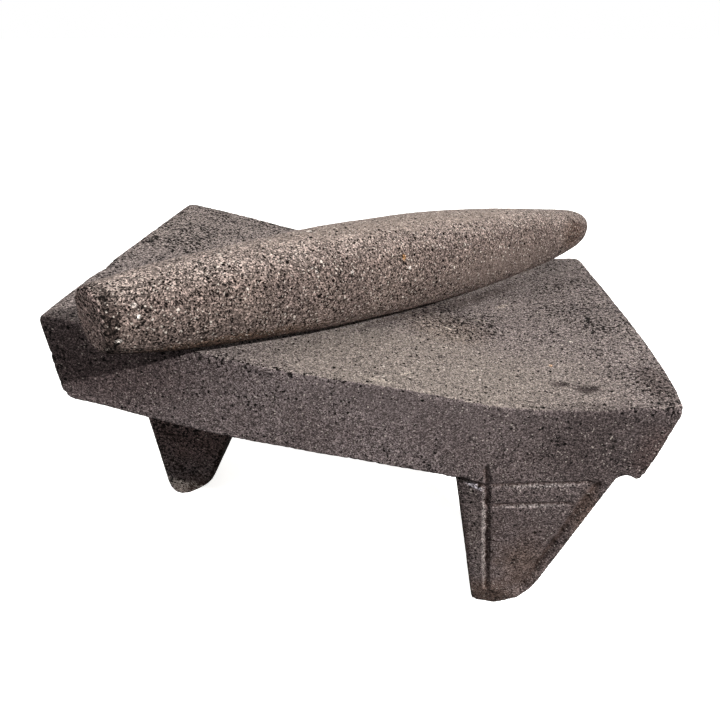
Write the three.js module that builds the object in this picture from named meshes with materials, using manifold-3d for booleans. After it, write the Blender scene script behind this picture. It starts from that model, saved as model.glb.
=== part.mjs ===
// Saddle quern of porous basalt: a three-legged slab with a dished top, and the long handstone lying
// askew across it. Millimetres, +Z up. +X runs down the slab's slope, from the high end on one leg to
// the low end on two, and +Y runs across it. The origin is on the ground under the middle of the box.
//
// Everything is drawn in the slab's own frame, which the outer groups tilt and lift: s runs along the
// chord of the dished top, y across the slab from its front face, and t square to the chord, upwards.
import * as THREE from 'three';
import { mergeVertices } from 'three/addons/utils/BufferGeometryUtils.js';
import Module from 'manifold-3d';

const wasm = await Module();
wasm.setup();

const radians = THREE.MathUtils.degToRad;

// ---- the slab ----
const slabLength = 356;        // chord of the top, end to end
const slabWidth = 247;
const slabThickness = 53;      // at the high end
const slabSlope = 6.75;        // degrees, down towards the low end
const highEndHeight = 209;     // top corner of the high end above the ground
const slabArris = 1.4;         // worn rounding of the front and back rims
const slabSteps = 12;          // stations across the slab that carry the bow
const lowEndBow = 6.8;         // how far the low end bulges in the middle
const highEndBow = 1.2;        // and the high end
const bowReach = 66;           // how far in from an end its bulge starts
const bowSkew = 0.6;           // under 1 draws the bulge towards the front
const backRise = 4.5;          // how much shallower the hollow is at the back rim
const backRiseAt = [185, 275, 345];   // s where that begins, peaks and ends

const scarCentre = [-7, 78, 0];       // s, y and t of a flake lost from the high end's upper edge
const scarReach = [8.4, 27, 13];

// Worn hollow of the top along the chord, [s, t]: a long shallow dip with a steeper lip at the low end.
const dish = [
  [5, -0.4], [50, -4.5], [100, -10.3], [145, -13.6], [200, -13.2],
  [252, -15.6], [284, -13.4], [313, -8.8], [334, -3.4], [353, -0.1],
];
// Underside from the low end back to the high end: deepest where the two legs stand.
const underside = [
  [347, -52.4], [341, -50.4], [334, -54], [298, -65], [266, -72.8], [239, -70.4],
  [195, -68.7], [151, -67.6], [100, -65], [60, -60.5], [35, -56.8], [15, -55],
];
const highEndTop = [-1, 0];
const highEndFoot = [8, -53.5];      // where the high end face meets the underside
const lowEndFace = [[356.8, -3], [355.4, -14.4], [353.7, -29.7], [351.6, -42.4]];
const lowEndFoot = [351, -51.8];

// ---- the legs, corners as [s, t, cut]: cut is how much of each side the corner's curve takes ----
const lowLeg = {
  corners: [
    [237.6, -45, 0], [276, -171.6, 8], [280.5, -183, 4], [291.5, -178.5, 7],
    [312, -156, 12], [339, -45, 0],
  ],
  topDepth: 64,                // y depth at the slab
  footDepth: 46,               // y depth at the sole
};
const highLeg = {
  corners: [
    [6.5, -45, 0], [31.9, -203, 8], [42.5, -210, 4], [69, -188.5, 12], [107, -45, 0],
  ],
  topDepth: 92,
  footDepth: 60,
};
const legRootLevel = -58;      // t where a leg leaves the underside
const soleLevel = -176;        // t of the low legs' soles, where footDepth is reached
const highSoleLevel = -203;
const legArris = 3;            // rounding along the edges of the high leg

// The low legs' inner corners are dressed off at a slant, behind a line down the face.
const slantTop = [262, -73.5];
const slantFoot = [281, -158.4];
const slantAngle = 20;         // degrees between the dressed facet and the face
// Below this line the face leans back to the sole.
const toeLine = [[281, -160], [298, -162]];
const toeLean = 17;            // degrees

// Chiselled lines on a low leg's face: [from, to, width, depth].
const borderLines = [
  [[261, -56], [284.4, -163], 4.6, 1.8],          // down the inner edge, run up into the slab
  [[263, -72.6], [327, -57.8], 3.6, 1.5],         // along the leg's root
  [[328.5, -56], [303.5, -159], 6, 1.7],          // down the outer edge
];
const bandLine = [[266.5, -88], [320, -75.2], 3.6, 1.5];   // second line, on the front leg only
const lineRunOut = 5;          // length over which a line rises to nothing at each end

// ---- the handstone ----
const stoneLength = 435;
// [distance from the cut end, radius]: a spindle fattest just before its middle
const stoneRadii = [
  [2.5, 18.3], [18, 20.9], [43, 24.4], [78, 27.4], [118, 30.4], [158, 32.2], [203, 32.9], [248, 32.3],
  [293, 29.9], [333, 26.8], [368, 23.3], [397, 19.6], [416, 15.8], [426, 10.6], [433, 5],
];
const stoneCutRadius = 16.5;   // flat of the cut end, inside its rounded rim
const stoneCutSlant = 3;       // degrees the cut end leans out at the top
const stoneCutTurn = 6;       // and is turned from square, seen from above
const stoneCutReach = 60;      // how far along the stone that slant fades out
const stoneTipRise = 2.2;      // the blunt tip is worn upward by this much
const stoneTipReach = 75;      // over this much of its length
const stoneSides = 40;
const stoneSquareness = 0.02;  // flattens four sides, as share of the radius
const stoneHeading = 44.4;     // degrees from +s towards +y
const stoneStart = [47.7, -33.2];   // s and y of the cut end's centre
const stoneLift = 18.58;       // t of the axis at the cut end
const stoneRise = 0.24;        // degrees the axis climbs towards the tip, above the slab's own slope

// ---- shared helpers ----
function toManifold(geometry) {
  const bare = geometry.clone();
  bare.deleteAttribute('normal');
  bare.deleteAttribute('uv');
  const merged = mergeVertices(bare, 1e-4);
  return new wasm.Manifold(new wasm.Mesh({
    numProp: 3,
    vertProperties: Float32Array.from(merged.attributes.position.array),
    triVerts: Uint32Array.from(merged.index.array),
  }));
}

function toGeometry(solid) {
  const mesh = solid.getMesh();
  const geometry = new THREE.BufferGeometry();
  geometry.setAttribute('position', new THREE.BufferAttribute(mesh.vertProperties, 3));
  geometry.setIndex(new THREE.BufferAttribute(mesh.triVerts, 1));
  geometry.computeVertexNormals();
  return geometry;
}

// Moves every vertex by a function of its own place.
function reshape(geometry, move) {
  const position = geometry.attributes.position;
  const point = new THREE.Vector3();
  for (let i = 0; i < position.count; i += 1) {
    point.fromBufferAttribute(position, i);
    move(point);
    position.setXYZ(i, point.x, point.y, point.z);
  }
  return geometry;
}

// Extrudes an outline drawn in s and t so that it fills y from 0 to depth.
function extrudeAcross(outline, depth, arris, steps) {
  const geometry = new THREE.ExtrudeGeometry(outline, {
    depth: depth - 2 * arris,
    steps,
    curveSegments: 3,
    bevelEnabled: arris > 0,
    bevelThickness: arris,
    bevelSize: arris,
    bevelOffset: -arris,
    bevelSegments: 2,
  });
  // The extrusion runs along its own z: turned so that z becomes -y, then slid to start at y = 0.
  geometry.rotateX(Math.PI / 2);
  geometry.translate(0, depth - arris, 0);
  return geometry;
}

function outlineFromCorners(corners) {
  const shape = new THREE.Shape();
  const at = (i) => new THREE.Vector2(...corners[(i + corners.length) % corners.length]);
  corners.forEach(([s, t, cut], i) => {
    const corner = new THREE.Vector2(s, t);
    const before = at(i - 1).sub(corner).setLength(cut).add(corner);
    const after = at(i + 1).sub(corner).setLength(cut).add(corner);
    if (i === 0) shape.moveTo(before.x, before.y);
    else shape.lineTo(before.x, before.y);
    if (cut > 0) shape.quadraticCurveTo(s, t, after.x, after.y);
  });
  return shape;
}

// A block that holds everything on the far side of the plane through a point, along its normal.
function beyondPlane(point, normal) {
  const size = 2 * slabLength;    // larger than anything it cuts
  const block = new THREE.BoxGeometry(size, size, size);
  block.translate(0, 0, size / 2);
  const turn = new THREE.Quaternion().setFromUnitVectors(new THREE.Vector3(0, 0, 1), normal);
  block.applyQuaternion(turn);
  block.translate(point.x, point.y, point.z);
  return toManifold(block);
}

// ---- the slab's body ----
function slabBody() {
  const shape = new THREE.Shape();
  const points = (list) => list.map(([s, t]) => new THREE.Vector2(s, t));
  shape.moveTo(highEndTop[0] + 0.8, highEndTop[1] - 5);
  shape.quadraticCurveTo(...highEndTop, ...dish[0]);
  shape.splineThru(points(dish.slice(1)));
  shape.quadraticCurveTo(lowEndFace[0][0] + 0.4, 0, ...lowEndFace[0]);
  shape.splineThru(points(lowEndFace.slice(1)));
  shape.quadraticCurveTo(...lowEndFoot, ...underside[0]);
  shape.splineThru(points(underside.slice(1)));
  shape.quadraticCurveTo(...highEndFoot, highEndFoot[0] - 1, highEndFoot[1] + 6);
  shape.closePath();
  const body = extrudeAcross(shape, slabWidth, slabArris, slabSteps);
  return reshape(body, (p) => {
    const across = THREE.MathUtils.clamp(p.y / slabWidth, 0, 1);
    if (p.z > -slabThickness / 2) {
      const [begins, peaks, ends] = backRiseAt;
      const { smoothstep } = THREE.MathUtils;
      p.z += backRise * across ** 2 * smoothstep(p.x, begins, peaks) * (1 - smoothstep(p.x, peaks, ends));
    }
    const bow = Math.sin(Math.PI * across ** bowSkew);
    p.x += lowEndBow * bow * THREE.MathUtils.smoothstep(p.x, slabLength - bowReach, slabLength);
    p.x -= highEndBow * bow * (1 - THREE.MathUtils.smoothstep(p.x, 0, bowReach));
  });
}

// ---- the legs ----
// How deep a leg is at a level, from its root in the slab to its sole.
function depthAt(leg, sole, t) {
  const down = (legRootLevel - t) / (legRootLevel - sole);
  return THREE.MathUtils.lerp(leg.topDepth, leg.footDepth, Math.max(down, 0));
}

// A low leg's face is flush with the slab's, so only its inward side leans.
function lowLegBody() {
  const leg = extrudeAcross(outlineFromCorners(lowLeg.corners), 1, 0, 4);
  reshape(leg, (p) => {
    p.y *= depthAt(lowLeg, soleLevel, p.z);
  });
  const down = new THREE.Vector3(slantFoot[0] - slantTop[0], 0, slantFoot[1] - slantTop[1]).normalize();
  const back = new THREE.Vector3(-Math.cos(radians(slantAngle)), Math.sin(radians(slantAngle)), 0);
  const slantNormal = new THREE.Vector3().crossVectors(back, down).normalize();
  if (slantNormal.y > 0) slantNormal.negate();
  const slant = beyondPlane(new THREE.Vector3(slantTop[0], 0, slantTop[1]), slantNormal);

  const [toeStart, toeEnd] = toeLine;
  const along = new THREE.Vector3(toeEnd[0] - toeStart[0], 0, toeEnd[1] - toeStart[1]).normalize();
  const lean = new THREE.Vector3(0, Math.sin(radians(toeLean)), -Math.cos(radians(toeLean)));
  const toeNormal = new THREE.Vector3().crossVectors(along, lean).normalize();
  if (toeNormal.y > 0) toeNormal.negate();
  const toe = beyondPlane(new THREE.Vector3(toeStart[0], 0, toeStart[1]), toeNormal);
  return toGeometry(toManifold(leg).subtract(slant).subtract(toe));
}

function highLegBody() {
  const leg = extrudeAcross(outlineFromCorners(highLeg.corners), highLeg.topDepth, legArris, 1);
  return reshape(leg, (p) => {
    const share = p.y / highLeg.topDepth - 0.5;
    p.y = slabWidth / 2 + share * depthAt(highLeg, highSoleLevel, p.z);
  });
}

// Turns a front leg or line into its twin at the back, keeping its faces outward.
function mirrorAcross(geometry) {
  const twin = geometry.clone();
  reshape(twin, (p) => {
    p.y = slabWidth - p.y;
  });
  const order = Array.from(twin.index.array);
  for (let i = 0; i < order.length; i += 3) [order[i], order[i + 1]] = [order[i + 1], order[i]];
  twin.setIndex(order);
  return twin;
}

// A V-shaped chisel line on the front face: a four-sided spindle, half sunk, that runs out at its ends.
function chiselLine([from, to, width, depth]) {
  const start = new THREE.Vector3(from[0], 0, from[1]);
  const end = new THREE.Vector3(to[0], 0, to[1]);
  const length = start.distanceTo(end);
  const profile = [[0, 0], [1, lineRunOut], [1, length - lineRunOut], [0, length]];
  const line = new THREE.LatheGeometry(profile.map(([r, y]) => new THREE.Vector2(r, y)), 4);
  line.scale(depth, 1, width / 2);
  // x of the spindle becomes y of the slab, its length the line's own direction.
  const along = end.clone().sub(start).normalize();
  const inward = new THREE.Vector3(0, 1, 0);
  const across = new THREE.Vector3().crossVectors(inward, along);
  line.applyMatrix4(new THREE.Matrix4().makeBasis(inward, along, across).setPosition(start));
  return line;
}

// Scar of a lost flake on the high end's upper edge: a squashed ball taken out of the edge.
function edgeScar() {
  const scar = new THREE.IcosahedronGeometry(1, 3);
  scar.scale(...scarReach);
  scar.translate(...scarCentre);
  return toManifold(scar);
}

// ---- the quern: slab and legs are one stone ----
function quernGeometry(groundPoint, groundNormal) {
  const leg = lowLegBody();
  const cuts = borderLines.map(chiselLine);
  const backCuts = cuts.map(mirrorAcross);
  let stone = toManifold(slabBody())
    .add(toManifold(leg))
    .add(toManifold(mirrorAcross(leg)))
    .add(toManifold(highLegBody()));
  for (const cut of [...cuts, ...backCuts, chiselLine(bandLine)]) stone = stone.subtract(toManifold(cut));
  return toGeometry(stone.subtract(edgeScar()).subtract(beyondPlane(groundPoint, groundNormal)));
}

// ---- the handstone: a long spindle, cut off flat at one end and blunt at the other ----
function handstoneGeometry() {
  const spine = new THREE.SplineCurve(stoneRadii.map(([along, r]) => new THREE.Vector2(r, along)));
  const profile = [new THREE.Vector2(0, 0), new THREE.Vector2(stoneCutRadius, 0)];
  profile.push(...spine.getPoints(stoneRadii.length * 2), new THREE.Vector2(0, stoneLength));
  const stone = new THREE.LatheGeometry(profile, stoneSides);
  reshape(stone, (p) => {
    const around = Math.atan2(p.z, p.x);
    const square = 1 - stoneSquareness * Math.cos(4 * around);
    p.x *= square;
    p.z *= square;
    const fade = 1 - THREE.MathUtils.smoothstep(p.y, 0, stoneCutReach);
    const slant = p.x * Math.tan(radians(stoneCutTurn)) - p.z * Math.tan(radians(stoneCutSlant));
    p.z += stoneTipRise * THREE.MathUtils.smoothstep(p.y, stoneLength - stoneTipReach, stoneLength);
    p.y += slant * fade;
  });
  // The lathe's own axis is y: laid along x, with its z still up.
  stone.rotateZ(-Math.PI / 2);
  return stone;
}

// ---- assembly ----
const basalt = new THREE.MeshStandardMaterial({ color: 0x6f6562, roughness: 0.95, metalness: 0 });
const warmBasalt = new THREE.MeshStandardMaterial({ color: 0x8c7a70, roughness: 0.95, metalness: 0 });

const tilted = new THREE.Group();
tilted.rotation.y = radians(slabSlope);
tilted.position.z = highEndHeight;
tilted.updateMatrixWorld(true);

const toSlabFrame = tilted.matrixWorld.clone().invert();
const groundPoint = new THREE.Vector3(0, 0, 0).applyMatrix4(toSlabFrame);
const groundNormal = new THREE.Vector3(0, 0, -1).transformDirection(toSlabFrame);

const quernSlab = new THREE.Mesh(quernGeometry(groundPoint, groundNormal), basalt);
quernSlab.name = 'quern_slab';

const handstone = new THREE.Mesh(handstoneGeometry(), warmBasalt);
handstone.name = 'handstone';
handstone.position.set(stoneStart[0], stoneStart[1], stoneLift);
handstone.rotation.set(0, -radians(stoneRise), radians(stoneHeading), 'ZYX');

tilted.add(quernSlab, handstone);
const group = new THREE.Group();
group.add(tilted);

const box = new THREE.Box3().setFromObject(group, true);
group.position.set(-(box.min.x + box.max.x) / 2, -(box.min.y + box.max.y) / 2, -box.min.z);
group.updateMatrixWorld(true);

export default group;
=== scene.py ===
import math
import random

import bmesh
import bpy
from mathutils import Matrix, Vector


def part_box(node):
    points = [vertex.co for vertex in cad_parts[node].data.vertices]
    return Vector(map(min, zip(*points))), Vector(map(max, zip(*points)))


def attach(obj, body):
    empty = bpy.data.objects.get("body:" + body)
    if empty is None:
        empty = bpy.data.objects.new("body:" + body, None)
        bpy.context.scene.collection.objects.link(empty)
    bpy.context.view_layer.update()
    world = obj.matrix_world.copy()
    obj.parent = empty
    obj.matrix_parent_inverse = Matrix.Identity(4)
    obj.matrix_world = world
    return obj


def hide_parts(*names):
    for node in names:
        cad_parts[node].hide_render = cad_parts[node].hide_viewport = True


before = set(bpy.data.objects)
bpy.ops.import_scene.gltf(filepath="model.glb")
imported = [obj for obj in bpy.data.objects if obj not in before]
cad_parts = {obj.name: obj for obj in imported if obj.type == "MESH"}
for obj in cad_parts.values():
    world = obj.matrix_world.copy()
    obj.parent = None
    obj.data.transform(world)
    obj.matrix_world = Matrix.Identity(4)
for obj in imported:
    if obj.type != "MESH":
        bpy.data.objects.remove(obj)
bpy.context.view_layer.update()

mm = 0.001
scene = bpy.context.scene


def linearColour(hexText):
    # sRGB hex to the linear red, green, blue and alpha that the shaders take
    shares = [int(hexText[i:i + 2], 16) / 255 for i in (0, 2, 4)]
    return [c / 12.92 if c <= 0.04045 else ((c + 0.055) / 1.055) ** 2.4 for c in shares] + [1.0]


def pickSocket(sockets, key):
    if isinstance(key, int):
        return sockets[key]
    return next(s for s in sockets if s.name == key and s.enabled)


def addNode(tree, kind, inputs=None, out=None, **settings):
    # adds a node with its settings and links, and gives back one of its outputs
    node = tree.nodes.new(kind)
    for name, value in settings.items():
        setattr(node, name, value)
    for key, value in (inputs or {}).items():
        socket = pickSocket(node.inputs, key)
        if isinstance(value, bpy.types.NodeSocket):
            tree.links.new(value, socket)
        else:
            socket.default_value = value
    if out == "node" or not node.outputs:
        return node
    if out is None:
        return next(s for s in node.outputs if s.enabled)
    return pickSocket(node.outputs, out)


def socketId(tree, name):
    return next(s.identifier for s in tree.interface.items_tree if s.name == name and s.in_out == "INPUT")


cameraPlace = {
    "stand": (0.02435, -0.39923, 0.3452),   # in front of the long side, and a little above it
    "tiltDown": 28.73,      # degrees below level
    "turnLeft": 5.1,
    "lens": 30.0,           # millimetres, as the sensor is
    "sensor": 36.0,
    "nearest": 0.02,        # where its view starts
}


def addCamera():
    camera = bpy.data.objects.new("camera", bpy.data.cameras.new("camera"))
    camera.location = cameraPlace["stand"]
    tilt = math.radians(90 - cameraPlace["tiltDown"])
    camera.rotation_euler = (tilt, 0, math.radians(cameraPlace["turnLeft"]))
    camera.data.lens = cameraPlace["lens"]
    camera.data.sensor_width = cameraPlace["sensor"]
    camera.data.clip_start = cameraPlace["nearest"]
    scene.collection.objects.link(camera)
    scene.camera = camera


addCamera()
print("camera set")

# Places on the stones are given in their own frames, in millimetres. The slab's runs from the top
# corner of its high end: down the slope, across to the back, and square out of the grinding face.
# The handstone's runs along its axis from the cut end, across, and up.
slabPlace = {
    "corner": (-179.38, -114.83, 209),
    "slope": 6.75,          # degrees, down towards the low end
}
stonePlace = {
    "cutEnd": (47.7, -33.2, 18.58),     # in the slab's frame
    "askew": 44.4,          # degrees round, as it lies across the slab
    "tipUp": 0.24,
}


def moved(place):
    return Matrix.Translation([v * mm for v in place])


def turned(degrees, axis):
    return Matrix.Rotation(math.radians(degrees), 4, axis)


slabFrame = moved(slabPlace["corner"]) @ turned(slabPlace["slope"], "Y")
stoneFrame = (slabFrame @ moved(stonePlace["cutEnd"]) @ turned(stonePlace["askew"], "Z")
              @ turned(-stonePlace["tipUp"], "Y"))

# The weathering of a stone's surface. It only ever takes stone away, so a piece stays within its solid.
weatheringInputs = {
    "Blur Steps": ("NodeSocketInt", 8),
    "Edge Wear": ("NodeSocketFloat", 0.6),
    "Wear Patch": ("NodeSocketFloat", 18 * mm),
    "Chip Size": ("NodeSocketFloat", 7 * mm),
    "Chip Depth": ("NodeSocketFloat", 1.6 * mm),
    "Chips Above": ("NodeSocketFloat", 0.0),
    "Lump Size": ("NodeSocketFloat", 24 * mm),
    "Lump Depth": ("NodeSocketFloat", 0.6 * mm),
    "Peck Size": ("NodeSocketFloat", 4 * mm),
    "Peck Depth": ("NodeSocketFloat", 0.3 * mm),
    "Pit Spacing": ("NodeSocketFloat", 9 * mm),
    "Pit Radius": ("NodeSocketFloat", 1.6 * mm),
    "Pit Depth": ("NodeSocketFloat", 1.8 * mm),
    "Pit Share": ("NodeSocketFloat", 0.5),
    "Seed": ("NodeSocketFloat", 1.0),
    "Stone": ("NodeSocketMaterial", None),
}

# What stays the same on both stones.
weatheringHand = {
    "seedDrift": (0.37, 0.91, 0.53),
    "edgeFrom": -0.05 * mm,             # where a point's blurred place lies: further in at an edge,
    "edgeFull": -0.9 * mm,              # and further out in a hollow
    "hollowFrom": 0.05 * mm,
    "hollowFull": 0.6 * mm,
    "wearPatches": (0.35, 0.65),        # noise, from least rubbed to most
    "leastWear": 0.2,
    "flakes": (0.55, 0.63),             # noise, from no flake to a whole one
    "flakesFade": 20 * mm,              # below the height where they thin out
    "flakesLow": 0.15,                  # share that is left of them there
    "pitStraySize": 2.5 * mm,
    "pitStray": 2.4 * mm,
    "smallestPit": 0.35,                # of the radius of the largest
    "pitWall": 0.4,                     # share of the radius where its floor starts
}


def strayedPlace(tree, place, size, far, detail):
    # the same place, strayed to any side by up to about half of far, in waves of one size
    warp = addNode(tree, "ShaderNodeTexNoise", {"Vector": place, "Scale": 1 / size, "Detail": detail},
                   out="Color")
    warp = addNode(tree, "ShaderNodeVectorMath", {0: warp, 1: (-0.5, -0.5, -0.5)}, operation="ADD")
    warp = addNode(tree, "ShaderNodeVectorMath", {0: warp, "Scale": far}, operation="SCALE")
    return addNode(tree, "ShaderNodeVectorMath", {0: place, 1: warp}, operation="ADD")


def buildWeathering():
    tree = bpy.data.node_groups.new("stone weathering", "GeometryNodeTree")
    tree.interface.new_socket("Geometry", in_out="INPUT", socket_type="NodeSocketGeometry")
    tree.interface.new_socket("Geometry", in_out="OUTPUT", socket_type="NodeSocketGeometry")
    for name, (kind, value) in weatheringInputs.items():
        socket = tree.interface.new_socket(name, in_out="INPUT", socket_type=kind)
        if value is not None:
            socket.default_value = value
    given = tree.nodes.new("NodeGroupInput").outputs
    hand = weatheringHand
    place = addNode(tree, "GeometryNodeInputPosition")
    normal = addNode(tree, "GeometryNodeInputNormal")
    drift = addNode(tree, "ShaderNodeVectorMath", {0: hand["seedDrift"], "Scale": given["Seed"]},
                    operation="SCALE")
    seeded = addNode(tree, "ShaderNodeVectorMath", {0: place, 1: drift}, operation="ADD")

    # one cloud of noise for each size of mark
    clouds = {}
    for name, detail in (("Wear Patch", 2.0), ("Chip Size", 1.0), ("Lump Size", 2.0), ("Peck Size", 2.0)):
        scale = addNode(tree, "ShaderNodeMath", {0: 1.0, 1: given[name]}, operation="DIVIDE")
        clouds[name] = addNode(tree, "ShaderNodeTexNoise", {"Vector": seeded, "Scale": scale,
                                                            "Detail": detail})

    # how far each point stands out from its surroundings: edges and corners stand out, grooves lie in
    soft = addNode(tree, "GeometryNodeBlurAttribute", {"Value": place, "Iterations": given["Blur Steps"]},
                   data_type="FLOAT_VECTOR")
    pull = addNode(tree, "ShaderNodeVectorMath", {0: soft, 1: place}, operation="SUBTRACT")
    bend = addNode(tree, "ShaderNodeVectorMath", {0: pull, 1: normal}, out="Value", operation="DOT_PRODUCT")
    edge = addNode(tree, "ShaderNodeMapRange", {"Value": bend, 1: hand["edgeFrom"], 2: hand["edgeFull"]})
    hollow = addNode(tree, "ShaderNodeMapRange", {"Value": bend, 1: hand["hollowFrom"],
                                                  2: hand["hollowFull"]})

    # rubbed edges: a point goes part of the way to its blurred place, unevenly
    patch = addNode(tree, "ShaderNodeMapRange", {
        "Value": clouds["Wear Patch"], 1: hand["wearPatches"][0], 2: hand["wearPatches"][1],
        3: hand["leastWear"]})
    wear = addNode(tree, "ShaderNodeMath", {0: patch, 1: given["Edge Wear"]}, operation="MULTIPLY")
    wear = addNode(tree, "ShaderNodeMath", {0: wear, 1: edge}, operation="MULTIPLY")
    worn = addNode(tree, "ShaderNodeVectorMath", {0: pull, "Scale": wear}, operation="SCALE")

    # small flakes off the edges, fewer of them low down
    height = addNode(tree, "ShaderNodeSeparateXYZ", {0: place}, out="Z")
    above = addNode(tree, "ShaderNodeMath", {0: height, 1: given["Chips Above"]}, operation="SUBTRACT")
    above = addNode(tree, "ShaderNodeMapRange", {"Value": above, 1: -hand["flakesFade"], 2: 0.0,
                                                 3: hand["flakesLow"]})
    flake = addNode(tree, "ShaderNodeMapRange", {"Value": clouds["Chip Size"], 1: hand["flakes"][0],
                                                 2: hand["flakes"][1]})
    for share in (edge, above, given["Chip Depth"]):
        flake = addNode(tree, "ShaderNodeMath", {0: flake, 1: share}, operation="MULTIPLY")

    # uneven dressing: broad lumps, and the small dents of the pecking hammer
    lump = addNode(tree, "ShaderNodeMath", {0: clouds["Lump Size"], 1: given["Lump Depth"]},
                   operation="MULTIPLY")
    peck = addNode(tree, "ShaderNodeMath", {0: clouds["Peck Size"], 1: given["Peck Depth"]},
                   operation="MULTIPLY")

    # gas pits of many sizes: one to a cell of a random lattice, and only some of the cells have one
    ragged = strayedPlace(tree, seeded, hand["pitStraySize"], hand["pitStray"], 1.0)
    perMetre = addNode(tree, "ShaderNodeMath", {0: 1.0, 1: given["Pit Spacing"]}, operation="DIVIDE")
    cells = addNode(tree, "ShaderNodeTexVoronoi", {"Vector": ragged, "Scale": perMetre}, out="node").outputs
    chance = addNode(tree, "ShaderNodeSeparateXYZ", {0: cells["Color"]}, out="node").outputs
    size = addNode(tree, "ShaderNodeMapRange", {"Value": chance[0], 3: hand["smallestPit"]})
    size = addNode(tree, "ShaderNodeMath", {0: size, 1: given["Pit Radius"]}, operation="MULTIPLY")
    reach = addNode(tree, "ShaderNodeMath", {0: cells["Distance"], 1: given["Pit Spacing"]},
                    operation="MULTIPLY")
    inPit = addNode(tree, "ShaderNodeMath", {0: reach, 1: size}, operation="DIVIDE")
    inPit = addNode(tree, "ShaderNodeMapRange", {"Value": inPit, 1: 1.0, 2: hand["pitWall"]},
                    interpolation_type="SMOOTHSTEP")
    chosen = addNode(tree, "ShaderNodeMath", {0: chance[1], 1: given["Pit Share"]}, operation="LESS_THAN")
    pit = addNode(tree, "ShaderNodeMath", {0: inPit, 1: chosen}, operation="MULTIPLY")
    pitSink = addNode(tree, "ShaderNodeMath", {0: size, 1: given["Pit Radius"]}, operation="DIVIDE")
    for share in (given["Pit Depth"], pit):
        pitSink = addNode(tree, "ShaderNodeMath", {0: pitSink, 1: share}, operation="MULTIPLY")

    sink = lump
    for part in (peck, pitSink, flake):
        sink = addNode(tree, "ShaderNodeMath", {0: sink, 1: part}, operation="ADD")
    sink = addNode(tree, "ShaderNodeMath", {0: sink, 1: -1.0}, operation="MULTIPLY")
    inward = addNode(tree, "ShaderNodeVectorMath", {0: normal, "Scale": sink}, operation="SCALE")
    move = addNode(tree, "ShaderNodeVectorMath", {0: inward, 1: worn}, operation="ADD")

    mesh = given["Geometry"]
    for name, value in (("edge", edge), ("hollow", hollow), ("pit", pit)):
        mesh = addNode(tree, "GeometryNodeStoreNamedAttribute", {
            "Geometry": mesh, "Name": name, "Value": value}, data_type="FLOAT", domain="POINT")
    mesh = addNode(tree, "GeometryNodeSetPosition", {"Geometry": mesh, "Offset": move})
    mesh = addNode(tree, "GeometryNodeSetShadeSmooth", {"Geometry": mesh, "Shade Smooth": True})
    mesh = addNode(tree, "GeometryNodeRealizeInstances", {"Geometry": mesh})
    mesh = addNode(tree, "GeometryNodeSetMaterial", {"Geometry": mesh, "Material": given["Stone"]})
    tree.links.new(mesh, tree.nodes.new("NodeGroupOutput").inputs["Geometry"])
    return tree


def plainMesh(piece):
    # turns what the modifiers make into the piece's own mesh
    graph = bpy.context.evaluated_depsgraph_get()
    mesh = bpy.data.meshes.new_from_object(piece.evaluated_get(graph), preserve_all_data_layers=True,
                                           depsgraph=graph)
    piece.modifiers.clear()
    piece.data = mesh


def triangleCount(mesh):
    return sum(len(face.vertices) - 2 for face in mesh.polygons)


stoneMesh = {
    "weld": 0.01 * mm,
    "quickVoxel": 1.6,
}


def addStone(nodeName, pieceName, shape, material, cuts=None):
    # an evenly meshed copy of the node's solid, cut, weathered, then thinned where it is flat
    piece = bpy.data.objects.new(pieceName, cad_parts[nodeName].data.copy())
    piece.data.materials.clear()
    scene.collection.objects.link(piece)
    weld = piece.modifiers.new("weld", "WELD")
    weld.merge_threshold = stoneMesh["weld"]
    if cuts:
        carve = piece.modifiers.new("carve", "BOOLEAN")
        carve.object = cuts
        carve.operation = "DIFFERENCE"
        carve.solver = "EXACT"
        carve.use_self = True
    even = piece.modifiers.new("even", "REMESH")
    even.mode = "VOXEL"
    even.voxel_size = shape["voxel"] * 1.0
    weather = piece.modifiers.new("weathering", "NODES")
    weather.node_group = weathering
    for name, value in shape["weathering"].items():
        weather[socketId(weathering, name)] = value
    weather[socketId(weathering, "Stone")] = material
    plainMesh(piece)
    if cuts:
        bpy.data.objects.remove(cuts)
    triangles = triangleCount(piece.data)
    if triangles > shape["triangles"]:
        thin = piece.modifiers.new("thin", "DECIMATE")
        thin.ratio = shape["triangles"] / triangles
        plainMesh(piece)
    for vertex in piece.data.vertices:
        vertex.co.z = max(vertex.co.z, 0.0)
    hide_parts(nodeName)
    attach(piece, "root")
    print(pieceName, "made:", triangles, "triangles, thinned to", triangleCount(piece.data))
    return piece


weathering = buildWeathering()

# Chisel marks on the low legs, sharper than the solid has them. Each runs between two places on the
# slab's face, as distances down the slope and out of the grinding face, with the width of its upper
# and lower flank and its depth, all in millimetres.
chiselMarks = {
    "across the root": {"ends": ((264, -72.6), (327, -57.8)), "flanks": (1.2, 2.9), "depth": 1.9, "legs": 2},
    "second band": {"ends": ((267, -88), (320, -75.2)), "flanks": (1.2, 2.9), "depth": 1.9, "legs": 1},
    "inner border": {"ends": ((261, -56), (284.4, -163)), "flanks": (2.7, 2.3), "depth": 2.8, "legs": 2},
    "outer border": {"ends": ((328.5, -56), (303.5, -159)), "flanks": (3.6, 3.8), "depth": 2.8, "legs": 2},
    "toe": {"ends": ((280, -159.6), (299, -162.2)), "flanks": (1.4, 1.0), "depth": 1.8, "legs": 2},
}
chiselHand = {
    "step": 3.0,            # between one blow and the next
    "wander": 0.35,         # how far a blow strays to the side
    "unevenness": 0.22,     # of depth and width, as a share
    "runOut": 5.0,          # the length over which a mark fades at its ends
    "leastBlow": 0.05,      # share of its size that is left at the very end
    "notch": [(245, -69.2), (252, -70), (267, -73.4), (265.5, -75.6), (252, -74.6), (245, -73.4)],
    "notchDepth": (13.0, 1.2),      # at the slab's side of the leg, and at its border
    "outside": 2.0,         # how far the cutting shapes start in front of the face
    "seed": 11,
}

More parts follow.
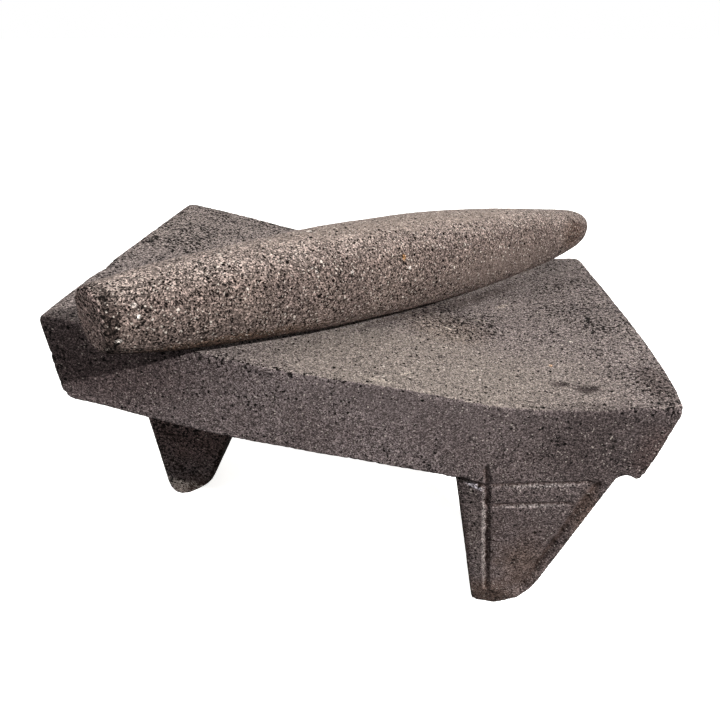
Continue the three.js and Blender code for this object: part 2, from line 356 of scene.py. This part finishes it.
# Corners and rims knocked off, as rough lumps taken away: where, and half their size, in the slab's
# millimetres.
knockedOff = {
    "lumps": [
        # high and low end, back corners
        ((-10, 256, 0), (18, 18, 34)),
        ((367, 257, 0), (19.5, 19.5, 34)),
        # low end: front corner, the one below it, and the rim
        ((366, -9, 5), (18, 18, 18)),
        ((354, -3, -53), (5, 6, 6)),
        ((366, 60, 3), (5, 22, 5)),
        # high end: the rim, and the front corner
        ((-3, 60, 3.5), (5, 16, 5)),
        ((-3.5, 110, 4), (5, 24, 5.5)),
        ((-3, 178, 3.6), (5, 18, 5)),
        ((-9.5, -9.5, 7), (17, 17, 17)),
        # the front rim
        ((130, -3.6, -9.5), (16, 5, 5)),
        ((285, -3.8, -10), (20, 5, 5)),
        # the inner corners of the low legs' feet
        ((271.9, 20, -187.5), (14.2, 90, 14.2)),
        ((271.9, 227, -187.5), (14.2, 90, 14.2)),
    ],
    "roughness": (0.88, 1.08),      # how far in and out a lump's points stand, as shares of its size
}


def addLump(mesh, middle, halfSize, dice):
    # a rough ball: an icosphere with each point moved a little in or out
    made = bmesh.ops.create_icosphere(mesh, subdivisions=2, radius=1.0)
    for vertex in made["verts"]:
        place = vertex.co * dice.uniform(*knockedOff["roughness"])
        at = Vector(middle) + Vector(place[i] * halfSize[i] for i in range(3))
        vertex.co = slabFrame @ (at * mm)


def addPrism(mesh, rings):
    # skins a closed shape over rings that all have as many points
    loops = [[mesh.verts.new(point) for point in ring] for ring in rings]
    count = len(loops[0])
    for one, other in zip(loops, loops[1:]):
        for i in range(count):
            mesh.faces.new((one[i], one[(i + 1) % count], other[(i + 1) % count], other[i]))
    mesh.faces.new(loops[0][::-1])
    mesh.faces.new(loops[-1])


def chiselCuts(slabWidth):
    # the marks as one mesh of wedges, which the slab's boolean takes away
    hand = chiselHand
    dice = random.Random(hand["seed"])
    mesh = bmesh.new()
    outside = -hand["outside"]
    for mark in chiselMarks.values():
        start, end = Vector(mark["ends"][0]), Vector(mark["ends"][1])
        length = (end - start).length
        along = (end - start).normalized()
        up = Vector((-along.y, along.x))
        steps = round(length / hand["step"])
        for leg in range(mark["legs"]):
            rings = []
            for i in range(steps + 1):
                run = length * i / steps
                fade = min(1.0, min(run, length - run) / hand["runOut"] + hand["leastBlow"])
                middle = start + along * run + up * dice.uniform(-1, 1) * hand["wander"]
                above, below, deep = (size * fade * (1 + dice.uniform(-1, 1) * hand["unevenness"])
                                      for size in (*mark["flanks"], mark["depth"]))
                ring = []
                for side, depth in ((above, 0), (0, deep), (-below, 0), (-below, outside), (above, outside)):
                    at = middle + up * side
                    ring.append(slabFrame @ (Vector((at.x, slabWidth - depth if leg else depth, at.y)) * mm))
                rings.append(ring)
            addPrism(mesh, rings)
    nearest = min(s for s, t in hand["notch"])
    furthest = max(s for s, t in hand["notch"])
    deepest, shallowest = hand["notchDepth"]
    for leg in (0, 1):
        rings = []
        for front in (True, False):
            ring = []
            for s, t in hand["notch"]:
                share = (s - nearest) / (furthest - nearest)
                depth = outside if front else deepest + (shallowest - deepest) * share
                ring.append(slabFrame @ (Vector((s, slabWidth - depth if leg else depth, t)) * mm))
            rings.append(ring)
        addPrism(mesh, rings)
    for middle, halfSize in knockedOff["lumps"]:
        addLump(mesh, middle, halfSize, dice)
    bmesh.ops.recalc_face_normals(mesh, faces=mesh.faces)
    data = bpy.data.meshes.new("chisel cuts")
    mesh.to_mesh(data)
    mesh.free()
    cuts = bpy.data.objects.new("chisel cuts", data)
    scene.collection.objects.link(cuts)
    return cuts


# What stays the same in the rock of both stones.
rockHand = {
    "noiseLow": 0.3,                # most of a noise lies between these two
    "noiseHigh": 0.7,
    "cloudRoughness": 0.6,
    "frothRoughness": 0.55,
    "frothRim": 0.03,
    "frothStrength": 0.95,
    "spotRim": (1.05, 0.75),        # of a spot's radius, where it starts and where it is full
    "patchCore": 0.3,               # of a patch's reach, unless it has its own
    "earthSize": 16 * mm,
    "earthFrom": 0.4,               # noise, from bare to a full patch
    "earthFull": 0.65,
    "ior": 1.5,
}


def scatteredSpots(tree, place, spots):
    # random spots, one to a cell: a share of the cells has one, from the smallest radius to the largest
    cells = addNode(tree, "ShaderNodeTexVoronoi", {"Vector": place, "Scale": 1 / spots["spacing"]},
                    out="node").outputs
    chance = addNode(tree, "ShaderNodeSeparateXYZ", {0: cells["Color"]}, out="node").outputs
    least, most = (r / spots["spacing"] for r in spots["radius"])
    radius = addNode(tree, "ShaderNodeMapRange", {"Value": chance[0], 3: least, 4: most})
    reach = addNode(tree, "ShaderNodeMath", {0: cells["Distance"], 1: radius}, operation="DIVIDE")
    inside = addNode(tree, "ShaderNodeMapRange", {"Value": reach, 1: rockHand["spotRim"][0],
                                                  2: rockHand["spotRim"][1], 4: spots["strength"]})
    chosen = addNode(tree, "ShaderNodeMath", {0: chance[1], 1: spots["share"]}, operation="LESS_THAN")
    return addNode(tree, "ShaderNodeMath", {0: inside, 1: chosen}, operation="MULTIPLY")


def softPatch(tree, place, spaceFrame, patch):
    # a rounded patch about one place: full inside, fading to nothing at its reach. It may turn across
    # the face it lies on, or lean down a side.
    turn = spaceFrame.to_3x3() @ Matrix.Rotation(math.radians(patch.get("turn", 0)), 3, "Z")
    turn = turn @ Matrix.Rotation(math.radians(patch.get("lean", 0)), 3, "Y")
    near = addNode(tree, "ShaderNodeMapping", {
        "Vector": place, "Location": spaceFrame @ (Vector(patch["at"]) * mm), "Rotation": turn.to_euler(),
        "Scale": Vector(patch["reach"]) * mm}, vector_type="TEXTURE")
    away = addNode(tree, "ShaderNodeVectorMath", {0: near}, out="Value", operation="LENGTH")
    core = patch.get("full", rockHand["patchCore"])
    return addNode(tree, "ShaderNodeMapRange", {"Value": away, 1: 1.0, 2: core, 4: patch["strength"]},
                   interpolation_type="SMOOTHSTEP")


def buildBasalt(name, look, spaceFrame):
    material = bpy.data.materials.new(name)
    material.use_nodes = True
    tree = material.node_tree
    tree.nodes.clear()
    hand = rockHand
    low, high = hand["noiseLow"], hand["noiseHigh"]
    place = addNode(tree, "ShaderNodeTexCoord", out="Object")
    height = addNode(tree, "ShaderNodeSeparateXYZ", {0: place}, out="Z")
    normal = addNode(tree, "ShaderNodeNewGeometry", out="Normal")
    up = addNode(tree, "ShaderNodeSeparateXYZ", {0: normal}, out="Z")
    edge = addNode(tree, "ShaderNodeAttribute", out="Fac", attribute_name="edge")
    hollow = addNode(tree, "ShaderNodeAttribute", out="Fac", attribute_name="hollow")
    pit = addNode(tree, "ShaderNodeAttribute", out="Fac", attribute_name="pit")

    # strayed places, a little and a lot, so that no spot is quite round and no patch has a smooth edge
    ragged = strayedPlace(tree, place, *look["stray"], 2.0)
    patchPlace = strayedPlace(tree, place, *look["patchStray"], 2.0)

    # broad tone of the stone
    cloud = addNode(tree, "ShaderNodeTexNoise", {"Vector": place, "Scale": 1 / look["cloudSize"],
                                                 "Detail": 4.0, "Roughness": hand["cloudRoughness"]})
    cloud = addNode(tree, "ShaderNodeMapRange", {"Value": cloud, 1: low, 2: high})
    colour = addNode(tree, "ShaderNodeMix", {"Factor": cloud, "A": linearColour(look["dark"]),
                                             "B": linearColour(look["light"])}, data_type="RGBA")

    # ground and rubbed faces are paler: those that look up, with a ragged border
    fray = addNode(tree, "ShaderNodeTexNoise", {"Vector": place, "Scale": 1 / look["fraySize"],
                                                "Detail": 2.0})
    fray = addNode(tree, "ShaderNodeMath", {0: fray, 1: -0.5}, operation="ADD")
    facing = addNode(tree, "ShaderNodeMath", {0: fray, 1: look["fray"], 2: up}, operation="MULTIPLY_ADD")
    facing = addNode(tree, "ShaderNodeMapRange", {"Value": facing, 1: look["wornFrom"],
                                                  2: look["wornFull"]})
    rub = addNode(tree, "ShaderNodeTexNoise", {"Vector": place, "Scale": 1 / look["rubSize"], "Detail": 3.0})
    rub = addNode(tree, "ShaderNodeMapRange", {"Value": rub, 1: low, 2: high, 3: look["rubLeast"]})
    smooth = 0.0
    for patch in look["rubbed"]:
        near = softPatch(tree, patchPlace, spaceFrame, patch)
        smooth = addNode(tree, "ShaderNodeMath", {0: smooth, 1: near}, operation="MAXIMUM")
    worn = addNode(tree, "ShaderNodeMath", {0: facing, 1: rub}, operation="MULTIPLY")
    colour = addNode(tree, "ShaderNodeMix", {"Factor": worn, "A": colour,
                                             "B": linearColour(look["topTone"])}, data_type="RGBA")
    worn = addNode(tree, "ShaderNodeMath", {0: facing, 1: smooth}, operation="MULTIPLY")
    colour = addNode(tree, "ShaderNodeMix", {"Factor": worn, "A": colour,
                                             "B": linearColour(look["rubTone"])}, data_type="RGBA")
    rim = addNode(tree, "ShaderNodeMath", {0: edge, 1: look["edgePale"]}, operation="MULTIPLY")
    colour = addNode(tree, "ShaderNodeMix", {"Factor": rim, "A": colour,
                                             "B": linearColour(look["topTone"])}, data_type="RGBA")

    # stains with frayed borders, and crisper scuffs, chisel marks and single large crystals, with painted
    # shade and painted highlights among them
    for mark in look["marks"]:
        near = softPatch(tree, patchPlace if mark.get("frayed") else ragged, spaceFrame, mark)
        colour = addNode(tree, "ShaderNodeMix", {"Factor": near, "A": colour,
                                                 "B": linearColour(mark["tone"])}, data_type="RGBA")

    # the rock's grains: each cell of a fine lattice has its own shade, calmer where the stone is rubbed
    calm = addNode(tree, "ShaderNodeMapRange", {"Value": smooth, 3: 1.0, 4: look["calm"]})
    calmShift = addNode(tree, "ShaderNodeMath", {0: calm, 1: -0.5}, operation="MULTIPLY")
    relief = 0.0
    for grain in look["grains"]:
        cell = addNode(tree, "ShaderNodeTexVoronoi", {"Vector": place, "Scale": 1 / grain["size"]},
                       out="Color")
        cell = addNode(tree, "ShaderNodeSeparateXYZ", {0: cell}, out="X")
        # from the darkest grain to the lightest, evenly by ratio, about a mean of one
        ratio = grain["contrast"]
        mean = (ratio ** 0.5 - ratio ** -0.5) / math.log(ratio)
        power = addNode(tree, "ShaderNodeMath", {0: cell, 1: calm, 2: calmShift}, operation="MULTIPLY_ADD")
        shade = addNode(tree, "ShaderNodeMath", {0: ratio, 1: power}, operation="POWER")
        shade = addNode(tree, "ShaderNodeMath", {0: shade, 1: 1 / mean}, operation="MULTIPLY")
        colour = addNode(tree, "ShaderNodeVectorMath", {0: colour, "Scale": shade}, operation="SCALE")
        relief = addNode(tree, "ShaderNodeMath", {0: cell, 1: grain["relief"], 2: relief},
                         operation="MULTIPLY_ADD")
    for lumps in look["gravel"]:
        lump = addNode(tree, "ShaderNodeTexNoise", {"Vector": place, "Scale": 1 / lumps["size"],
                                                    "Detail": 1.0})
        relief = addNode(tree, "ShaderNodeMath", {0: lump, 1: lumps["relief"], 2: relief},
                         operation="MULTIPLY_ADD")

    # pale feldspar crystals
    for spots in look["crystals"]:
        near = scatteredSpots(tree, ragged, spots)
        colour = addNode(tree, "ShaderNodeMix", {"Factor": near, "A": colour,
                                                 "B": linearColour(look["crystal"])}, data_type="RGBA")

    # gas pores: black mouths, crowded in some places and sparse in others
    crowd = addNode(tree, "ShaderNodeTexNoise", {"Vector": place, "Scale": 1 / look["crowdSize"],
                                                 "Detail": 2.0})
    crowd = addNode(tree, "ShaderNodeMapRange", {"Value": crowd, 1: low, 2: high,
                                                 3: look["crowd"][0], 4: look["crowd"][1]})
    for patch in look["crowded"]:
        near = softPatch(tree, patchPlace, spaceFrame, patch)
        crowd = addNode(tree, "ShaderNodeMath", {0: crowd, 1: near}, operation="ADD")
    for cause, more in ((smooth, -look["rubbedOut"]), (edge, look["edgePores"])):
        crowd = addNode(tree, "ShaderNodeMath", {0: cause, 1: more, 2: crowd}, operation="MULTIPLY_ADD")
    froth = addNode(tree, "ShaderNodeTexNoise", {"Vector": place, "Scale": 1 / look["frothSize"],
                                                 "Detail": 2.0, "Roughness": hand["frothRoughness"]})
    froth = addNode(tree, "ShaderNodeMath", {0: crowd, 1: froth}, operation="SUBTRACT")
    pores = addNode(tree, "ShaderNodeMapRange", {"Value": froth, 1: 0.0, 2: hand["frothRim"],
                                                 4: hand["frothStrength"]})
    for layer in look["pores"]:
        pores = addNode(tree, "ShaderNodeMath", {0: pores, 1: scatteredSpots(tree, ragged, layer)},
                        operation="MAXIMUM")
    pores = addNode(tree, "ShaderNodeMath", {0: pores, 1: pit}, operation="MAXIMUM")
    colour = addNode(tree, "ShaderNodeMix", {"Factor": pores, "A": colour, "B": linearColour(look["pore"])},
                     data_type="RGBA")

    # brown dirt low down and in the hollows
    earth = addNode(tree, "ShaderNodeMapRange", {"Value": height, 1: look["dirtTop"], 2: 0.0})
    patches = addNode(tree, "ShaderNodeTexNoise", {"Vector": place, "Scale": 1 / hand["earthSize"],
                                                   "Detail": 4.0})
    patches = addNode(tree, "ShaderNodeMapRange", {"Value": patches, 1: hand["earthFrom"],
                                                   2: hand["earthFull"]})
    earth = addNode(tree, "ShaderNodeMath", {0: earth, 1: patches}, operation="MULTIPLY")
    earth = addNode(tree, "ShaderNodeMath", {0: earth, 1: hollow}, operation="MAXIMUM")
    earth = addNode(tree, "ShaderNodeMath", {0: earth, 1: look["dirtShare"]}, operation="MULTIPLY")
    colour = addNode(tree, "ShaderNodeMix", {"Factor": earth, "A": colour, "B": linearColour(look["dirt"])},
                     data_type="RGBA")

    # relief too fine for the mesh: grains stand up, pores sink
    relief = addNode(tree, "ShaderNodeMath", {0: relief, 1: calm}, operation="MULTIPLY")
    relief = addNode(tree, "ShaderNodeMath", {0: pores, 1: -look["poreRelief"], 2: relief},
                     operation="MULTIPLY_ADD")
    bump = addNode(tree, "ShaderNodeBump", {"Height": relief, "Distance": 1.0, "Strength": 1.0})
    shader = addNode(tree, "ShaderNodeBsdfPrincipled", {
        "Base Color": colour, "Roughness": look["roughness"], "IOR": hand["ior"],
        "Specular IOR Level": look["gloss"], "Normal": bump})
    addNode(tree, "ShaderNodeOutputMaterial", {"Surface": shader})
    return material


# Basalt with gas pores, sawn and pecked to shape: dead matt, grey with a brown cast, and peppered with
# black pores. The grinding face is paler where it has been rubbed.
slabLook = {
    "dark": "584e4d", "light": "695f5e", "topTone": "776d69", "rubTone": "80766f", "crystal": "c8bcb2",
    "pore": "080605", "dirt": "4a382f",
    "cloudSize": 45 * mm, "rubSize": 30 * mm, "rubLeast": 0.6,
    "wornFrom": 0.66, "wornFull": 0.86,     # how far a face looks up, as the height of its normal
    "fraySize": 3 * mm, "fray": 1.0,
    "edgePale": 0.1,
    "stray": (0.9 * mm, 1.4 * mm), "patchStray": (9 * mm, 9 * mm),      # size, then how far
    "rubbed": [
        {"at": (215, 25, -13), "reach": (120, 70, 40), "strength": 1.0, "full": 0.45},
        {"at": (290, 30, -12), "reach": (70, 60, 30), "strength": 0.5},
    ],
    "calm": 0.72,
    "marks": [
        {"at": (234, 90, -14), "reach": (40, 30, 12), "tone": "857566", "strength": 0.3, "frayed": True},
        {"at": (312, 24, -9), "reach": (12, 6.5, 6), "tone": "352d2c", "strength": 0.9, "frayed": True},
        {"at": (297, 29, -12), "reach": (9, 5.5, 6), "tone": "352d2c", "strength": 0.8, "frayed": True},
        {"at": (350, 28, 0), "reach": (16, 32, 8), "tone": "4c413e", "strength": 0.6, "frayed": True},
        # the front face darker towards the high end: partly painted shade that deepens the handstone's cast
        # shadow there, partly a darker tone of the stone
        {"at": (30, 0, -28), "reach": (80, 14, 45), "tone": "443938", "strength": 0.7, "frayed": True},
        # darker and paler tones of the stone about the low end, the legs and the back of the top
        {"at": (300, 5, -75), "reach": (80, 40, 80), "tone": "463c3a", "strength": 0.45, "frayed": True},
        {"at": (55, 90, -125), "reach": (60, 60, 60), "tone": "665451", "strength": 0.8, "frayed": True},
        {"at": (335, 0, -30), "reach": (75, 14, 45), "tone": "3c3433", "strength": 0.62, "frayed": True},
        {"at": (352, 0, -30), "reach": (18, 20, 26), "tone": "46342f", "strength": 0.35, "frayed": True},
        {"at": (40, 190, 0), "reach": (150, 110, 40), "tone": "8b7f79", "strength": 0.7, "frayed": True},
        # painted light: the foot of the high leg made paler, as if the key light caught it below the slab's
        # shadow
        {"at": (48, 92.6, -197), "reach": (30, 34, 10), "tone": "a1978f", "strength": 0.9,
         "full": 0.7, "frayed": True},
        # painted shade along the line where the handstone lies on the slab
        {"at": (240, 133, -13), "reach": (120, 12, 14), "turn": 44.4, "tone": "362c29",
         "strength": 0.6, "frayed": True},
        # earth on the low legs
        {"at": (288, 20, -165), "reach": (32, 60, 24), "tone": "5c4636", "strength": 0.5, "frayed": True},
        {"at": (300, 10, -130), "reach": (24, 30, 30), "tone": "5c483a", "strength": 0.4, "frayed": True},
        {"at": (326, 10, -80), "reach": (10, 30, 30), "tone": "5a4639", "strength": 0.45, "frayed": True},
        # painted highlights on the lit flanks of the chisel grooves and on the notch's ledge, partly stone
        # bruised pale by the chisel, and painted shade in the grooves and down the margin of the leg's inner
        # facet
        {"at": (272.5, 1, -115), "reach": (49, 6, 1.7), "lean": 77.7, "tone": "8d8480",
         "strength": 0.7, "full": 0.6},
        {"at": (274.6, 1, -110), "reach": (56, 6, 1.5), "lean": 77.7, "tone": "2a2220",
         "strength": 0.6, "full": 0.5},
        {"at": (295.8, 0, -66.8), "reach": (34, 5, 1.7), "lean": -13.2, "tone": "8c8481",
         "strength": 0.55},
        {"at": (293.8, 0, -83.2), "reach": (29, 5, 1.7), "lean": -13.6, "tone": "8c8481",
         "strength": 0.5},
        {"at": (316, 0, -107.5), "reach": (58, 8, 4.4), "lean": 103.6, "tone": "382e2b", "strength": 0.6},
        {"at": (289.5, 0, -161.4), "reach": (11, 6, 1.3), "lean": 7.8, "tone": "1c1614", "strength": 0.8},
        {"at": (267, 3, -115), "reach": (56, 8, 6), "lean": 75, "tone": "7c706c", "strength": 0.35},
        {"at": (260.3, 4.6, -120), "reach": (60, 8, 4.8), "lean": 73.1, "tone": "382e2c",
         "strength": 0.75},
        {"at": (258.5, 3, -75.8), "reach": (8, 6, 1.4), "lean": 7, "tone": "908c92", "strength": 0.7},
        # pale scuffs left by the handstone
        {"at": (235, 90.3, -14), "reach": (8, 1.6, 6), "turn": -18, "tone": "b0a498", "strength": 0.8},
        {"at": (214, 67.2, -13), "reach": (6, 1.3, 6), "turn": -8, "tone": "b0a498", "strength": 0.75},
        {"at": (233, 61.8, -14), "reach": (7.5, 1.7, 6), "turn": -9, "tone": "b0a498", "strength": 0.85},
        {"at": (258, 111.5, -15), "reach": (8, 1.6, 6), "turn": -20, "tone": "a3968a", "strength": 0.6},
        {"at": (277, 139, -13), "reach": (9, 3, 6), "turn": 40, "tone": "a3968a", "strength": 0.6},
        {"at": (207, 19, -13), "reach": (7, 1.7, 6), "turn": 38, "tone": "b0a498", "strength": 0.8},
        {"at": (192, 6.4, -13), "reach": (12, 2.4, 6), "turn": -5, "tone": "b0a498", "strength": 0.8},
        {"at": (247.5, 37.2, -15), "reach": (2.8, 1.4, 3), "tone": "c9bdae", "strength": 0.9},
        {"at": (315, 84.5, -8.5), "reach": (2.4, 1.6, 3), "tone": "d0c6ba", "strength": 0.9},
        {"at": (296.7, 51.4, -11.5), "reach": (1.7, 2, 3), "tone": "b58a5e", "strength": 0.8},
    ],
    # a contrast is how many times lighter the lightest grain is than the darkest
    "grains": [
        {"size": 0.6 * mm, "relief": 0.14 * mm, "contrast": 10.0},
        {"size": 1.5 * mm, "relief": 0.05 * mm, "contrast": 1.5},
    ],
    "gravel": [],
    "crystals": [
        {"spacing": 1.8 * mm, "radius": (0.3 * mm, 0.5 * mm), "share": 0.4, "strength": 0.75},
        {"spacing": 4 * mm, "radius": (0.5 * mm, 0.9 * mm), "share": 0.16, "strength": 0.8},
    ],
    "crowdSize": 22 * mm, "crowd": (0.3, 0.4), "rubbedOut": 0.05, "edgePores": 0.1,
    "crowded": [
        {"at": (40, 190, 0), "reach": (190, 150, 60), "strength": 0.13},
        {"at": (345, 150, 0), "reach": (90, 130, 40), "strength": 0.11},
        {"at": (350, 25, 0), "reach": (25, 40, 12), "strength": 0.1},
        {"at": (240, 105, -14), "reach": (60, 45, 12), "strength": 0.12},
        {"at": (110, 0, -12), "reach": (110, 6, 8), "strength": 0.08},
        {"at": (55, 120, -150), "reach": (90, 90, 120), "strength": 0.12, "full": 0.5},
        {"at": (2, 50, -28), "reach": (12, 110, 45), "strength": 0.05, "full": 0.6},
    ],
    "frothSize": 2.1 * mm,
    "pores": [
        {"spacing": 1.7 * mm, "radius": (0.3 * mm, 0.7 * mm), "share": 0.55, "strength": 0.97},
        {"spacing": 3.4 * mm, "radius": (0.6 * mm, 1.25 * mm), "share": 0.24, "strength": 1.0},
    ],
    "poreRelief": 0.4 * mm,
    "dirtTop": 90 * mm, "dirtShare": 0.5,
    "roughness": 0.93, "gloss": 0.1,       # low, so that the pores stay black
}

# The same rock in a coarser bed, pecked round: brown-grey, thickly speckled with cream crystals and
# dark pits, and worn smooth and pale along its top by the hands.
handstoneLook = {
    "dark": "625550", "light": "70625b", "topTone": "978981", "rubTone": "8d7f76", "crystal": "ebe0d3",
    "pore": "0d0806", "dirt": "4c3424",
    "cloudSize": 30 * mm, "rubSize": 22 * mm, "rubLeast": 0.5,
    "wornFrom": 0.45, "wornFull": 0.97,
    "fraySize": 8 * mm, "fray": 0.5,
    "edgePale": 0.1,
    "stray": (1.3 * mm, 1.3 * mm), "patchStray": (9 * mm, 8 * mm),
    "rubbed": [
        {"at": (290, -30, -2), "reach": (95, 20, 16), "strength": 1.0},
        {"at": (225, 0, 32), "reach": (210, 24, 14), "strength": 1.0},
    ],
    "calm": 0.5,
    "marks": [
        # painted shade in a dark band on the flank along the rim of the cut end, then the cut face made paler
        {"at": (5.6, -14, 5), "reach": (4.6, 21, 30), "tone": "2b221f", "strength": 0.75, "full": 0.5},
        {"at": (-1, 0, 0), "reach": (4, 30, 30), "tone": "927f79", "strength": 0.8, "full": 0.8},
        # large pale crystals
        {"at": (16.2, -17, 12.6), "reach": (2.2, 2.4, 1.9), "tone": "d8cdc4", "strength": 0.85},
        {"at": (17.3, -19.2, 7.2), "reach": (1.6, 2, 1.9), "tone": "e3d9d0", "strength": 0.85},
        {"at": (7.4, -18, -4.5), "reach": (2.6, 2.4, 1.8), "tone": "d9cfc6", "strength": 0.85},
        {"at": (140, -28.4, 14.1), "reach": (1.6, 2, 2.2), "tone": "d8cdc4", "strength": 0.85},
        {"at": (185.3, -30.8, 10.6), "reach": (2, 2, 1.6), "tone": "e3d9d0", "strength": 0.85},
        {"at": (116.7, -25.3, 17), "reach": (1.7, 2, 1.8), "tone": "d8cdc4", "strength": 0.85},
        {"at": (113.9, -24.3, 19), "reach": (1.6, 2, 1.5), "tone": "e3d9d0", "strength": 0.85},
        {"at": (130.4, 3.6, 30.3), "reach": (3, 2, 3), "tone": "e3d9d0", "strength": 0.85},
        # painted shade: a near-black band along the underside, where the handstone lies on the slab
        {"at": (225, -14, -28), "reach": (235, 15, 7.5), "tone": "120c0a", "strength": 0.95,
         "full": 0.5, "frayed": True},
        # an orange-brown spot, and brown patches at the far end and low on the flank towards the cut end
        {"at": (181.3, -28, 17.4), "reach": (2.2, 2.8, 3), "tone": "a0713c", "strength": 0.8},
        {"at": (389, -18, 6), "reach": (26, 22, 16), "tone": "4a352a", "strength": 0.5, "frayed": True},
        {"at": (60, -20, -18), "reach": (90, 16, 9), "tone": "5e4530", "strength": 0.5, "frayed": True},
    ],
    "grains": [
        {"size": 0.65 * mm, "relief": 0.2 * mm, "contrast": 10.0},
        {"size": 1.2 * mm, "relief": 0.1 * mm, "contrast": 2.0},
    ],
    "gravel": [
        {"size": 1.3 * mm, "relief": 0.6 * mm},
    ],
    "crystals": [
        {"spacing": 1.9 * mm, "radius": (0.35 * mm, 0.65 * mm), "share": 0.4, "strength": 0.5},
        {"spacing": 4.2 * mm, "radius": (0.6 * mm, 1.0 * mm), "share": 0.18, "strength": 0.6},
    ],
    "crowdSize": 14 * mm, "crowd": (0.37, 0.44), "rubbedOut": 0.1, "edgePores": 0.1,
    "crowded": [
        {"at": (4, 0, 0), "reach": (9, 30, 30), "strength": 0.05, "full": 0.6},
    ],
    "frothSize": 1.5 * mm,
    "pores": [
        {"spacing": 1.6 * mm, "radius": (0.35 * mm, 0.68 * mm), "share": 0.62, "strength": 1.0},
        {"spacing": 3.8 * mm, "radius": (0.6 * mm, 1.25 * mm), "share": 0.22, "strength": 1.0},
    ],
    "poreRelief": 0.5 * mm,
    "dirtTop": 10 * mm, "dirtShare": 0.4,
    "roughness": 0.9, "gloss": 0.1,
}

slabShape = {
    "voxel": 1.05 * mm,
    "triangles": 190000,
    "weathering": {
        "Blur Steps": 6, "Edge Wear": 0.5, "Wear Patch": 18 * mm, "Chip Size": 4 * mm, "Chip Depth": 1.3 * mm,
        "Chips Above": 120 * mm, "Lump Size": 30 * mm, "Lump Depth": 0.6 * mm, "Peck Size": 4 * mm,
        "Peck Depth": 0.3 * mm, "Pit Spacing": 9 * mm, "Pit Radius": 1.7 * mm, "Pit Depth": 1.8 * mm,
        "Pit Share": 0.3, "Seed": 3.0,
    },
}

handstoneShape = {
    "voxel": 1.05 * mm,
    "triangles": 180000,
    "weathering": {
        "Blur Steps": 6, "Edge Wear": 0.12, "Wear Patch": 12 * mm, "Chip Size": 3 * mm,
        "Chip Depth": 1.4 * mm, "Lump Size": 26 * mm, "Lump Depth": 0.9 * mm, "Peck Size": 2.6 * mm,
        "Peck Depth": 0.5 * mm, "Pit Spacing": 8 * mm, "Pit Radius": 1.6 * mm, "Pit Depth": 1.6 * mm,
        "Pit Share": 0.35, "Seed": 7.0,
    },
}

slabWidth = (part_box("quern_slab")[1][1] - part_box("quern_slab")[0][1]) / mm
slabBasalt = buildBasalt("slab basalt", slabLook, slabFrame)
handstoneBasalt = buildBasalt("handstone basalt", handstoneLook, stoneFrame)
slab = addStone("quern_slab", "quern_slab_stone", slabShape, slabBasalt, chiselCuts(slabWidth))
handstone = addStone("handstone", "handstone_stone", handstoneShape, handstoneBasalt)


# A lit white table under a dim even sky, a key light from the front right, a weaker and broader fill
# from the front left, and a low one behind so that the back isn't lost.
studio = {
    "table": "f4f3f1",
    "tableSize": 60.0,
    "tableGlow": 0.92,
    "tableRoughness": 0.9,
    "sky": 0.44,
    "below": 0.05,          # what the stones get from below, as if the table were dark
    "horizon": (-0.12, 0.0),        # heights between which the one goes over into the other
    "aimHeight": 0.1,
    "lights": {
        "key": {"from": (0.645, -0.515, 0.565), "distance": 1.8, "size": 0.07, "power": 45.0},
        "fill": {"from": (-0.45, -0.45, 0.77), "distance": 1.8, "size": 1.1, "power": 11.0},
        "back": {"from": (0.1, 0.95, 0.3), "distance": 2.0, "size": 1.4, "power": 14.0},
    },
}


def addTable():
    half = studio["tableSize"] / 2
    mesh = bpy.data.meshes.new("table")
    corners = [(-half, -half, 0), (half, -half, 0), (half, half, 0), (-half, half, 0)]
    mesh.from_pydata(corners, [], [(0, 1, 2, 3)])
    table = bpy.data.objects.new("table", mesh)
    acrylic = bpy.data.materials.new("lit white acrylic")
    acrylic.use_nodes = True
    shader = acrylic.node_tree.nodes["Principled BSDF"]
    shader.inputs["Base Color"].default_value = linearColour(studio["table"])
    shader.inputs["Roughness"].default_value = studio["tableRoughness"]
    shader.inputs["Emission Color"].default_value = linearColour(studio["table"])
    shader.inputs["Emission Strength"].default_value = studio["tableGlow"]
    mesh.materials.append(acrylic)
    table.visible_diffuse = False       # its glow is for the eye alone
    table.visible_glossy = False
    scene.collection.objects.link(table)


def addSky():
    world = bpy.data.worlds.new("studio")
    world.use_nodes = True
    tree = world.node_tree
    tree.nodes.clear()
    toward = addNode(tree, "ShaderNodeTexCoord", out="Generated")
    height = addNode(tree, "ShaderNodeSeparateXYZ", {0: toward}, out="Z")
    strength = addNode(tree, "ShaderNodeMapRange", {
        "Value": height, 1: studio["horizon"][0], 2: studio["horizon"][1], 3: studio["below"],
        4: studio["sky"]})
    seen = addNode(tree, "ShaderNodeLightPath", out="Is Camera Ray")
    strength = addNode(tree, "ShaderNodeMath", {0: strength, 1: seen}, operation="MAXIMUM")
    background = addNode(tree, "ShaderNodeBackground", {"Color": (1.0, 1.0, 1.0, 1.0), "Strength": strength})
    addNode(tree, "ShaderNodeOutputWorld", {"Surface": background})
    scene.world = world


def addLights():
    for name, place in studio["lights"].items():
        lamp = bpy.data.lights.new(name, "AREA")
        lamp.shape = "DISK"
        lamp.size = place["size"]
        lamp.energy = place["power"]
        light = bpy.data.objects.new(name, lamp)
        toward = Vector(place["from"]).normalized()
        light.location = toward * place["distance"] + Vector((0, 0, studio["aimHeight"]))
        light.rotation_euler = toward.to_track_quat("Z", "Y").to_euler()
        scene.collection.objects.link(light)


addTable()
addSky()
addLights()
scene.view_settings.view_transform = "Standard"
print("studio set")
